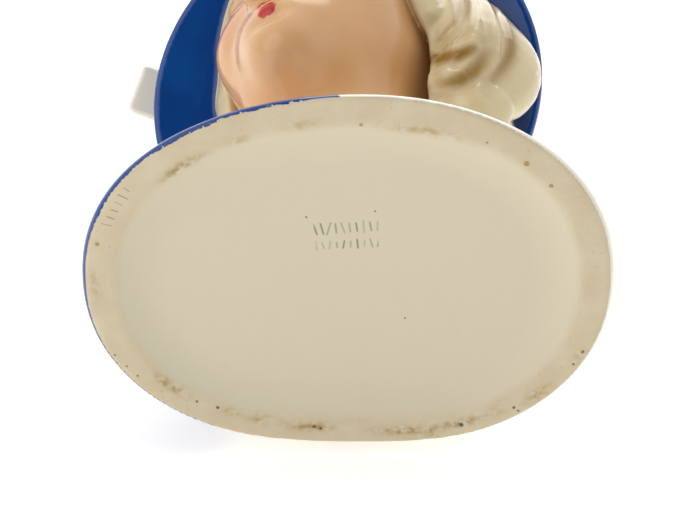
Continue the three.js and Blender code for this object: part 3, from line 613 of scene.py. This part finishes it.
# Tracing the field as a mesh
tracing = {"cell": 0.8, "block": 8, "mostTriangles": 190000, "finestBelow": 4.5}


def sampleField(low, counts, cell):
    block = tracing["block"]
    value = np.full(counts, 1e3, np.float32)
    starts = [np.arange(0, n, block) for n in counts]
    corner = np.stack(np.meshgrid(*starts, indexing="ij"), -1).reshape(-1, 3)
    middles = low + (corner + block / 2) * cell
    far = vase(*middles.T)
    radius = block * cell * 0.87
    near = np.abs(far) < radius * 1.5 + 2
    step = np.stack(np.meshgrid(*[np.arange(block)] * 3, indexing="ij"), -1).reshape(-1, 3)
    for (i, j, k), d, isNear in zip(corner, far, near):
        if not isNear:
            value[i : i + block, j : j + block, k : k + block] = d
    todo = corner[near]
    for first in range(0, len(todo), 256):
        cells = (todo[first : first + 256, None, :] + step[None]).reshape(-1, 3)
        cells = cells[(cells < counts).all(1)]
        value[tuple(cells.T)] = vase(*(low + cells * cell).T)
    return value


def traceSurface(low, high, cell):
    counts = np.ceil((high - low) / cell).astype(int) + 1
    value = sampleField(low, counts, cell)
    inside = value < 0
    crossings = np.zeros(counts - 1, np.int8)
    total = np.zeros((*(counts - 1), 3), np.float32)
    for axis in range(3):
        other = [a for a in range(3) if a != axis]
        lowSide = [slice(None)] * 3
        highSide = [slice(None)] * 3
        lowSide[axis], highSide[axis] = slice(0, -1), slice(1, None)
        d0, d1 = value[tuple(lowSide)], value[tuple(highSide)]
        crossed = (d0 < 0) != (d1 < 0)
        t = np.where(crossed, d0 / np.where(crossed, d0 - d1, 1), 0)
        for u in range(2):
            for v in range(2):
                part = [slice(None)] * 3
                part[other[0]] = slice(u, counts[other[0]] - 1 + u)
                part[other[1]] = slice(v, counts[other[1]] - 1 + v)
                here = crossed[tuple(part)]
                crossings += here
                total[..., axis] += t[tuple(part)]
                total[..., other[0]] += here * u
                total[..., other[1]] += here * v
    used = crossings > 0
    vertexOf = np.full(counts - 1, -1, np.int64)
    vertexOf[used] = np.arange(used.sum())
    cells = np.argwhere(used)
    points = low + (cells + total[used] / crossings[used][:, None]) * cell
    faces = []
    for axis in range(3):
        lowSide = [slice(1, -1)] * 3
        highSide = [slice(1, -1)] * 3
        highSide[axis] = slice(2, None)
        first, second = inside[tuple(lowSide)], inside[tuple(highSide)]
        base = np.argwhere(first != second) + 1
        startsInside = inside[tuple(base.T)]
        u, v = np.zeros(3, int), np.zeros(3, int)
        u[(axis + 1) % 3] = 1
        v[(axis + 2) % 3] = 1
        ring = [vertexOf[tuple((base - s).T)] for s in (0 * u, u, u + v, v)]
        quads = np.stack(ring, 1)
        quads[~startsInside] = quads[~startsInside][:, ::-1]
        faces.append(quads)
    return points, np.concatenate(faces)


def meshFrom(points, faces):
    mesh = bpy.data.meshes.new("head_vase_cast")
    mesh.from_pydata(points.tolist(), [], faces.tolist())
    return mesh


# The underside keeps all its points, because the paint's edge and the stains are drawn on it.
def thinOut(mesh, most):
    thing = bpy.data.objects.new("thinning", mesh)
    bpy.context.scene.collection.objects.link(thing)
    height = verticesOf(mesh)[:, 2]
    plain = thing.vertex_groups.new(name="plain")
    plain.add(np.flatnonzero(height > tracing["finestBelow"]).tolist(), 1, "REPLACE")
    count = sum(len(f.vertices) - 2 for f in mesh.polygons)
    modifier = thing.modifiers.new("decimate", "DECIMATE")
    modifier.ratio = min(1, most / count)
    modifier.vertex_group = "plain"
    modifier.use_collapse_triangulate = True
    evaluated = thing.evaluated_get(bpy.context.evaluated_depsgraph_get())
    thin = bpy.data.meshes.new_from_object(evaluated)
    bpy.data.objects.remove(thing)
    return thin


def verticesOf(mesh):
    flat = np.empty(len(mesh.vertices) * 3)
    mesh.vertices.foreach_get("co", flat)
    return flat.reshape(-1, 3)


def traceVase():
    reach = bustSizes["footWidth"] / 2 + 8
    top = brimSizes["height"] + crownSizes["height"] + 16
    low = np.array([-reach, -reach, -4.0])
    high = np.array([reach, reach, top])
    points, faces = traceSurface(low, high, tracing["cell"])
    print("traced", len(points), "points")
    mesh = thinOut(meshFrom(points, faces), tracing["mostTriangles"])
    print("thinned to", len(mesh.polygons), "faces")
    return mesh, settleOnSurface(vase, verticesOf(mesh), 2)


# Paint, stored on the mesh
def storeValues(mesh, name, values):
    layer = mesh.attributes.new(name, "FLOAT", "POINT")
    layer.data.foreach_set("value", np.clip(values, -9, 9).astype(np.float32))


def wobble(angle, *waves):
    return sum(height * np.sin(count * angle + shift) for height, count, shift in waves)


# Blue paint laps over the foot's edge, widest at the front on one side, with nicks in it.
footPaint = {"least": 0.4, "most": 1.8, "widestAt": -126, "spread": 40, "ragged": 0.26}

# Stains on the unglazed ring: angle in degrees from +X, reach along the ring, place across it
# and strength. Most lie along the step into the recess, where dust and glaze have gathered.
ringStains = [
    (-143, 4.7, 7.6, 1.0),
    (-125, 1.9, 7.4, 0.5),
    (-105, 3.3, 6.9, 0.5),
    (-67, 8.0, 8.0, 0.7),
    (147, 4.1, 6.4, 1.0),
    (129, 1.9, 6.7, 0.7),
    (120, 2.6, 6.4, 0.9),
    (104, 4.8, 5.4, 1.1),
    (72, 5.5, 4.6, 1.2),
    (64, 1.6, 3.4, 0.7),
    (55, 4.2, 5.0, 1.2),
    (45, 2.0, 5.0, 0.6),
    (34, 3.2, 3.6, 0.9),
    (20, 2.3, 3.0, 0.5),
    (179, 3.2, 3.0, 0.5),
]

stainWidth = 1.1

# Single dark specks on the underside: place, radius and paint.
specks = [
    (-34.3, 30.1, 0.32, "grime"),
    (-29.7, 31.7, 0.36, "soot"),
    (-8.1, 36.7, 0.45, "grime"),
    (-6.6, 37.2, 0.4, "grime"),
    (25.1, 36.2, 0.5, "soot"),
    (36.8, 31.7, 0.35, "soot"),
    (37.8, 32.6, 0.28, "soot"),
    (-52.0, 18.2, 0.25, "grime"),
    (-49.5, 21.0, 0.25, "grime"),
    (-47.2, 23.5, 0.22, "grime"),
    (-54.3, -9.1, 0.5, "rust"),
    (2.3, -36.6, 0.4, "rust"),
    (42.5, -22.8, 0.45, "rust"),
    (28.6, -32.7, 0.3, "rust"),
    (37.1, -27.9, 0.6, "rust"),
    (51.4, 17.4, 0.4, "grime"),
    (49.5, 20.5, 0.3, "grime"),
    (-9.4, -14.1, 0.2, "grime"),
    (5.4, -15.5, 0.22, "grime"),
    (12.1, 10.5, 0.22, "grime"),
]


def stainStrength(x, y):
    angle = np.degrees(np.arctan2(y, x))
    inward = -footOval(x, y)
    total = np.zeros(len(x))
    for middle, reach, across, strength in ringStains:
        turn = (angle - middle + 180) % 360 - 180
        along = turn * math.pi / 180 * length(x, y) / reach
        aside = (inward - across) / stainWidth
        total += strength * np.exp(-(along**2) - aside**2)
    return total


# The face is painted with a brush: lips, brows and the lashes of the lowered lids.
facePaint = {"lipEdge": 0.35, "browWidth": 0.85, "lashWidth": 0.55}


def faceStrokes(x, y, z):
    s = np.abs(x)
    upper, lower = lipForms(s, y, z)
    browLine = 13.6 + 2.6 * np.sin(np.clip((s - 4) / 17, 0, 1) * math.pi * 0.8) - z
    browTaper = facePaint["browWidth"] * ramp(2.5, 5, s) * ramp(22, 15, s)
    lashLine = lashHeight(s) - z
    lashTaper = facePaint["lashWidth"] * ramp(4.4, 6.5, s) * ramp(21, 18, s)
    front = ramp(-14, -18, y)
    return {
        "lips": facePaint["lipEdge"] - np.minimum(upper, lower),
        "brow": browTaper - np.abs(browLine) - 3 * (1 - front),
        "lash": lashTaper - np.abs(lashLine - 0.15) - 3 * (1 - front),
        "lidShade": front * np.exp(-(((s - 12.2) / 7.5) ** 2) - ((z - 5) / 4) ** 2),
        "blush": front * np.exp(-(((s - 15) / 7) ** 2) - ((z + 7) / 7) ** 2),
    }


# Olive strokes airbrushed on the curl, in the head's frame: points, width and strength.
airbrushed = [
    ([(39, -3, 3), (38.1, -1.9, -4.8), (35.7, -1.3, -14.6), (30.4, -0.1, -16.5)], 1.5, 0.75),
    ([(26.5, 2.2, -19.7), (30.1, 2, -24.6), (34.7, 1.9, -27.8), (38.6, 2.8, -26.8)], 2.2, 1.1),
    ([(21.6, 8.7, -18.4), (31.4, 6.1, -32.9), (36.4, 6.7, -30.1), (40.7, 5.7, -25.7)], 2.4, 0.9),
    ([(45.6, 6.6, -4.6), (46.4, 8.8, -12.7), (44.4, 10.8, -21.3), (38.9, 11.3, -29.9)], 2.1, 0.85),
    ([(30.6, 0.1, -17.2), (37, -0.2, -22), (42.3, 1.8, -14.8)], 3.4, 0.45),
]


def airbrushStrength(x, y, z):
    total = np.zeros(len(x))
    for points, width, strength in airbrushed:
        away, along = nearestAlong(x, y, z, curveThrough(points, 12))
        fade = np.sin(math.pi * (0.12 + 0.76 * along)) ** 0.5
        total = np.maximum(total, strength * fade * np.exp(-((away / width) ** 2)))
    return total


# The unpainted underside: up to just above the ring's plane, and all of the recess within it.
bareFoot = {"ringTop": 0.4, "recessFrom": 5, "recessTop": 3.7}


def paintValues(points):
    x, y, z = points.T
    parts = partsAt(x, y, z)
    skin = np.minimum(parts["face"], parts["neck"])
    flesh = np.minimum(skin, parts["bust"])
    bodyAndHair = np.minimum(flesh, parts["hair"])
    angle = np.arctan2(y, x)
    inward = -footOval(x, y)
    turned = (np.degrees(angle) - footPaint["widestAt"] + 180) % 360 - 180
    wide = np.exp(-((turned / footPaint["spread"]) ** 2))
    paintWidth = mix(footPaint["least"], footPaint["most"], wide)
    paintWidth += footPaint["ragged"] * wobble(angle, (0.6, 13, 1), (0.5, 31, 2), (0.3, 83, 0.5))
    clothed = np.minimum(skin - parts["bust"], belowNeckline(x, y, z))
    inRecess = np.minimum(inward - bareFoot["recessFrom"], bareFoot["recessTop"] - z)
    return {
        "overHair": flesh - parts["hair"],
        "overCloth": np.maximum(clothed, np.minimum(insideStole(x, y, z), skin - parts["bust"])),
        "overHat": bodyAndHair - parts["hat"],
        "overRibbon": np.minimum(bodyAndHair, parts["hat"]) - parts["ribbon"],
        "intoStole": insideStole(x, y, z),
        "groove": parts["groove"],
        "airbrush": airbrushStrength(*intoHead(x, y, z)),
        "inDepth": -outside(parts),
        "footPaint": paintWidth - inward + np.maximum(z - 0.3, 0) * 2,
        "ringInward": inward,
        "underFoot": np.maximum(bareFoot["ringTop"] - z, inRecess),
        "stain": stainStrength(x, y) * ramp(3.5, 1.5, z),
        **faceStrokes(*intoHead(x, y, z)),
    }


# The lettering in the photograph is left out: short slanting strokes that spell nothing stand in
# its place, two rows for the printed mark and one along the ring for the pencilled note.
strokeRows = [
    {"x": -0.8, "y": -11.6, "turn": -3.5, "long": 14, "half": 1.7, "pitch": 1.5, "width": 0.2},
    {"x": -0.6, "y": -7.6, "turn": -3.5, "long": 13.6, "half": 1.3, "pitch": 1.5, "width": 0.2},
    {"x": -49.6, "y": -17.8, "turn": -60, "long": 11, "half": 1.3, "pitch": 1.9, "width": 0.13},
]


# Materials
def linearColour(hexColour):
    parts = [int(hexColour[i : i + 2], 16) / 255 for i in (1, 3, 5)]
    return [p / 12.92 if p <= 0.04045 else ((p + 0.055) / 1.055) ** 2.4 for p in parts] + [1]


def addNode(tree, kind, inputs, **settings):
    made = tree.nodes.new(kind)
    for name, value in settings.items():
        setattr(made, name, value)
    for name, value in inputs.items():
        if isinstance(value, bpy.types.NodeSocket):
            tree.links.new(value, made.inputs[name])
        else:
            made.inputs[name].default_value = value
    return made


# Underglaze colours as they show through clear glaze.
paints = {
    "skin": "#D8A877",
    "skinShade": "#D09C66",
    "blush": "#DB8268",
    "lidShade": "#9A8A86",
    "hair": "#D6C59C",
    "hairShade": "#8C6400",
    "blue": "#00468F",
    # The deep blue is a darker tone of the paint, and is also used as painted shade on the brim next to
    # the head.
    "blueDeepAndShade": "#00347C",
    "white": "#EDE7D6",
    "lips": "#B8201C",
    "brow": "#6B4A2B",
    "lash": "#2A211C",
    "inside": "#D9D2BF",
    "underside": "#D3CAB2",
    "bisque": "#CBBB9C",
    "bisquePale": "#D0C4A8",
    "rust": "#A07C3C",
    "pencil": "#5E5442",
    "grime": "#5A4226",
    "soot": "#2B241C",
}


# Painted earthenware under clear glaze: smooth, with small sharp highlights. Where the foot is
# bare it is matt and warm.
def glazedEarthenware(middle):
    material = bpy.data.materials.new("glazedEarthenware")
    material.use_nodes = True
    tree = material.node_tree
    tree.nodes.clear()
    place = addNode(tree, "ShaderNodeTexCoord", {}).outputs["Object"]
    toMm = {0: place, 1: (1 / mm,) * 3, 2: tuple(middle)}
    perMm = addNode(tree, "ShaderNodeVectorMath", toMm, operation="MULTIPLY_ADD").outputs[0]
    alongX, alongY = addNode(tree, "ShaderNodeSeparateXYZ", {0: perMm}).outputs[:2]

    def value(name):
        return addNode(tree, "ShaderNodeAttribute", {}, attribute_name=name).outputs["Fac"]

    def noise(size, detail=3, roughness=0.55):
        inputs = {"Vector": perMm, "Scale": 1 / size, "Detail": detail, "Roughness": roughness}
        return addNode(tree, "ShaderNodeTexNoise", inputs).outputs[0]

    def calc(operation, a, b=0.0, c=0.0):
        return addNode(tree, "ShaderNodeMath", {0: a, 1: b, 2: c}, operation=operation).outputs[0]

    def soft(source, low, high):
        inputs = {"Value": source, "From Min": low, "From Max": high}
        made = addNode(tree, "ShaderNodeMapRange", inputs, interpolation_type="SMOOTHSTEP")
        return made.outputs[0]

    def over(fac, below, above):
        mixer = addNode(tree, "ShaderNodeMix", {}, data_type="RGBA")
        for name, given in (("Factor", fac), ("A", below), ("B", above)):
            socket = [s for s in mixer.inputs if s.name == name and s.enabled][0]
            if isinstance(given, bpy.types.NodeSocket):
                tree.links.new(given, socket)
            else:
                socket.default_value = given
        return [s for s in mixer.outputs if s.enabled][0]

    def within(distance, reach, soften):
        inputs = {"Value": distance, "From Min": reach + soften, "From Max": reach - soften}
        made = addNode(tree, "ShaderNodeMapRange", inputs, interpolation_type="SMOOTHSTEP")
        return made.outputs[0]

    def strokesOf(row, number):
        c, s = math.cos(math.radians(row["turn"])), math.sin(math.radians(row["turn"]))
        fromX, fromY = calc("SUBTRACT", alongX, row["x"]), calc("SUBTRACT", alongY, row["y"])
        along = calc("ADD", calc("MULTIPLY", fromX, c), calc("MULTIPLY", fromY, s))
        off = calc("SUBTRACT", calc("MULTIPLY", fromY, c), calc("MULTIPLY", fromX, s))
        steps = calc("DIVIDE", along, row["pitch"])
        cell = calc("FLOOR", steps)
        seed = {"W": calc("ADD", cell, 40.0 * number + 7)}
        random = addNode(tree, "ShaderNodeTexWhiteNoise", seed, noise_dimensions="1D").outputs[1]
        first, second, third = addNode(tree, "ShaderNodeSeparateColor", {0: random}).outputs
        place = calc("MULTIPLY", calc("SUBTRACT", calc("SUBTRACT", steps, cell), 0.5), row["pitch"])
        slant = calc("MULTIPLY", off, calc("MULTIPLY_ADD", first, 0.7, -0.35))
        aside = calc("ABSOLUTE", calc("SUBTRACT", place, slant))
        tall = calc("MULTIPLY", calc("MULTIPLY_ADD", second, 0.45, 0.55), row["half"])
        beyond = calc("SUBTRACT", calc("ABSOLUTE", off), tall)
        shape = calc("MULTIPLY", within(aside, row["width"], 0.09), within(beyond, 0, 0.2))
        ends = within(calc("ABSOLUTE", along), row["long"] / 2, 0.1)
        return calc("MULTIPLY", calc("MULTIPLY", shape, ends), calc("MULTIPLY_ADD", third, 0.5, 0.4))

    colour = {name: linearColour(hexColour) for name, hexColour in paints.items()}
    broad = noise(22, 2)
    fine = noise(0.7, 3)
    skin = over(soft(broad, 0.35, 0.7), colour["skin"], colour["skinShade"])
    skin = over(calc("MULTIPLY", value("blush"), 0.5), skin, colour["blush"])
    skin = over(calc("MULTIPLY", value("lidShade"), 0.45), skin, colour["lidShade"])
    strokeEdge = calc("MULTIPLY_ADD", fine, 0.3, -0.15)
    skin = over(soft(calc("ADD", value("lips"), strokeEdge), -0.1, 0.1), skin, colour["lips"])
    skin = over(soft(calc("ADD", value("brow"), strokeEdge), -0.15, 0.15), skin, colour["brow"])
    skin = over(soft(calc("ADD", value("lash"), strokeEdge), -0.1, 0.1), skin, colour["lash"])

    crease = calc("SUBTRACT", 1.0, soft(value("groove"), 1.2, 5.0))
    inCreases = calc("MULTIPLY", calc("MULTIPLY", crease, soft(noise(12, 2), 0.2, 0.6)), 0.4)
    airbrush = calc("MINIMUM", calc("MAXIMUM", inCreases, value("airbrush")), 0.95)
    hair = over(airbrush, colour["hair"], colour["hairShade"])
    blue = over(soft(broad, 0.3, 0.7), colour["blueDeepAndShade"], colour["blue"])
    # Painted shade: the brim's blue is darkened towards the head and hair, where the head shades the
    # underside of the brim.
    paintedShadeNearHead = calc("SUBTRACT", 1.0, soft(value("overHat"), 1.0, 12.0))
    blue = over(calc("MULTIPLY", paintedShadeNearHead, 0.7), blue, colour["blueDeepAndShade"])
    cloth = over(soft(value("intoStole"), -0.3, 0.3), blue, colour["white"])

    painted = over(soft(value("overCloth"), -0.2, 0.2), skin, cloth)
    painted = over(soft(value("overHair"), -0.2, 0.2), painted, hair)
    painted = over(soft(value("overHat"), -0.2, 0.2), painted, blue)
    painted = over(soft(value("overRibbon"), -0.2, 0.2), painted, colour["white"])
    painted = over(soft(value("inDepth"), 1.0, 2.0), painted, colour["inside"])

    across = value("ringInward")
    under = soft(value("underFoot"), -0.1, 0.1)
    streaks = calc("MULTIPLY_ADD", soft(noise(1.1, 3), 0.56, 0.66), -1.1, 0.0)
    nicked = calc("ADD", value("footPaint"), streaks)
    clearOfPaint = calc("SUBTRACT", 1.0, soft(nicked, -0.12, 0.12))
    blueSide = calc("SUBTRACT", 1.0, soft(value("intoStole"), -0.3, 0.3))
    clear = calc("SUBTRACT", 1.0, calc("MULTIPLY", blueSide, calc("SUBTRACT", 1.0, clearOfPaint)))
    bare = calc("MULTIPLY", under, clear)
    cloud = soft(noise(1.9, 4), 0.34, 0.66)
    dirt = soft(noise(0.6, 2, 0.6), 0.6, 0.68)
    halo = calc("MULTIPLY", value("stain"), cloud)
    dust = calc("MULTIPLY", soft(noise(0.8, 2), 0.62, 0.72), soft(noise(9, 2), 0.45, 0.6))
    dots = calc("MULTIPLY", soft(value("stain"), 0.35, 1.0), dirt)
    bisque = over(soft(noise(8, 3), 0.3, 0.75), colour["bisque"], colour["bisquePale"])
    bisque = over(soft(across, 6.6, 9.5), bisque, colour["underside"])
    nearEdge = calc("SUBTRACT", 1.0, soft(across, 6.5, 8.5))
    bisque = over(calc("MULTIPLY", calc("MULTIPLY", dust, nearEdge), 0.25), bisque, colour["grime"])
    bisque = over(calc("MINIMUM", calc("MULTIPLY", halo, 0.95), 0.8), bisque, colour["rust"])
    bisque = over(calc("MULTIPLY", dots, 0.6), bisque, colour["grime"])
    flat = addNode(tree, "ShaderNodeCombineXYZ", {0: alongX, 1: alongY}).outputs[0]
    for speckX, speckY, radius, paint in specks:
        ends = {0: flat, 1: (speckX, speckY, 0)}
        away = addNode(tree, "ShaderNodeVectorMath", ends, operation="DISTANCE").outputs["Value"]
        uneven = calc("MULTIPLY_ADD", fine, 0.5, -0.25)
        here = within(calc("ADD", away, uneven), radius, 0.14)
        bisque = over(calc("MULTIPLY", here, 0.8), bisque, colour[paint])
    strokes = [strokesOf(row, number) for number, row in enumerate(strokeRows)]
    written = calc("MULTIPLY", calc("MAXIMUM", calc("MAXIMUM", *strokes[:2]), strokes[2]), 0.75)
    bisque = over(written, bisque, colour["pencil"])
    surface = over(bare, painted, bisque)

    relief = calc("ADD", calc("MULTIPLY", noise(7, 2), 0.5), calc("MULTIPLY", fine, bare))
    bump = {"Strength": 0.12, "Distance": 0.0004, "Height": relief}
    normal = addNode(tree, "ShaderNodeBump", bump).outputs[0]
    rough = calc("MULTIPLY_ADD", bare, 0.6, 0.17)
    shader = {
        "Base Color": surface,
        "Roughness": rough,
        "IOR": 1.5,
        "Normal": normal,
    }
    glaze = addNode(tree, "ShaderNodeBsdfPrincipled", shader).outputs[0]
    addNode(tree, "ShaderNodeOutputMaterial", {"Surface": glaze})
    return material


def buildCast():
    mesh, points = traceVase()
    slope = slopeOf(vase, points, 0.12)
    normals = slope / np.maximum(np.linalg.norm(slope, axis=1), 1e-6)[:, None]
    for name, values in paintValues(points).items():
        storeValues(mesh, name, values)
    middle = (points.min(0) + points.max(0)) / 2
    middle[2] = 0
    points -= middle
    mesh.vertices.foreach_set("co", (points * mm).ravel())
    mesh.update()
    mesh.shade_smooth()
    mesh.normals_split_custom_set_from_vertices(normals.tolist())
    mesh.materials.append(glazedEarthenware(middle))
    cast = bpy.data.objects.new("head_vase_cast", mesh)
    bpy.context.scene.collection.objects.link(cast)
    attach(cast, "root")
    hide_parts("head_vase")
    print("painted the cast, foot centre", -middle)
    return Vector(-middle)


# Stage and light
# White paper, seen from its front only. A faint glow keeps it white where little light falls.
paperGlow = 0.3


def stageMaterial():
    material = bpy.data.materials.new("paperSweep")
    material.use_nodes = True
    tree = material.node_tree
    tree.nodes.clear()
    paper = addNode(tree, "ShaderNodeBsdfDiffuse", {"Color": linearColour("#FBFAF8")}).outputs[0]
    glow = addNode(tree, "ShaderNodeEmission", {"Strength": paperGlow}).outputs[0]
    paper = addNode(tree, "ShaderNodeAddShader", {0: paper, 1: glow}).outputs[0]
    clear = addNode(tree, "ShaderNodeBsdfTransparent", {}).outputs[0]
    behind = addNode(tree, "ShaderNodeNewGeometry", {}).outputs["Backfacing"]
    oneSided = addNode(tree, "ShaderNodeMixShader", {0: behind, 1: paper, 2: clear}).outputs[0]
    addNode(tree, "ShaderNodeOutputMaterial", {"Surface": oneSided})
    return material


def stagePlane(name, corners):
    mesh = bpy.data.meshes.new(name)
    mesh.from_pydata([Vector(c) * mm for c in corners], [], [(0, 1, 2, 3)])
    plane = bpy.data.objects.new(name, mesh)
    mesh.materials.append(bpy.data.materials.get("paperSweep") or stageMaterial())
    bpy.context.scene.collection.objects.link(plane)
    return plane


def makeStage(footCentre):
    big, lean = 2500, 0.055
    footBack = footCentre.y + bustSizes["footDepth"] / 2 + 0.2
    low, high = -1500, 2500
    stagePlane(
        "table_behind",
        [
            (-big, footBack + low * lean, low),
            (big, footBack + low * lean, low),
            (big, footBack + high * lean, high),
            (-big, footBack + high * lean, high),
        ],
    )
    floor = stagePlane("floor", [(-big, -big, 0), (big, -big, 0), (big, big, 0), (-big, big, 0)])
    floor.visible_shadow = False
    floor.visible_diffuse = False
    floor.visible_glossy = False


def addAreaLight(name, place, size, power):
    data = bpy.data.lights.new(name, "AREA")
    data.shape = "DISK"
    data.size = size
    data.energy = power
    light = bpy.data.objects.new(name, data)
    light.location = place
    light.rotation_euler = (Vector((0, 0, 0.06)) - light.location).to_track_quat("-Z", "Y").to_euler()
    bpy.context.scene.collection.objects.link(light)
    return light


# A white room with a large window at one side. It is dark behind the photographer, so the glaze
# on what faces that way shows its colour without a reflection.
roomLight = {"bright": 1.0, "dim": 0.04, "darkWithin": 0.87, "brightBeyond": 0.45}


# Name, place and size in metres, power in watts, and whether the glaze mirrors the light. The
# bounce is light that pale walls throw back, too soft to make a highlight.
lights = [
    ("window", (-0.75, -0.6, -0.5), 1.1, 3.4, True),
    ("bounce", (-0.35, -0.7, -0.75), 1.1, 2.2, False),
    ("ceiling", (0.2, -0.5, 0.9), 0.8, 3.5, True),
]


def makeLight():
    world = bpy.data.worlds.new("room")
    world.use_nodes = True
    tree = world.node_tree
    tree.nodes.clear()
    outward = addNode(tree, "ShaderNodeTexCoord", {}).outputs["Generated"]
    tilt = math.radians(viewFrom["elevation"])
    dark = {0: outward, 1: (0, -math.cos(tilt), math.sin(tilt))}
    toward = addNode(tree, "ShaderNodeVectorMath", dark, operation="DOT_PRODUCT").outputs["Value"]
    fade = {
        "Value": toward,
        "From Min": roomLight["brightBeyond"],
        "From Max": roomLight["darkWithin"],
        "To Min": roomLight["bright"],
        "To Max": roomLight["dim"],
    }
    strength = addNode(tree, "ShaderNodeMapRange", fade, interpolation_type="SMOOTHSTEP").outputs[0]
    walls = {"Color": (1, 1, 1, 1), "Strength": strength}
    shade = addNode(tree, "ShaderNodeBackground", walls).outputs[0]
    addNode(tree, "ShaderNodeOutputWorld", {"Surface": shade})
    bpy.context.scene.world = world
    for name, place, size, power, mirrored in lights:
        addAreaLight(name, place, size, power).visible_glossy = mirrored
    bpy.context.scene.view_settings.view_transform = "Standard"


footCentre = buildCast()
makeCamera(footCentre)
makeStage(footCentre)
makeLight()
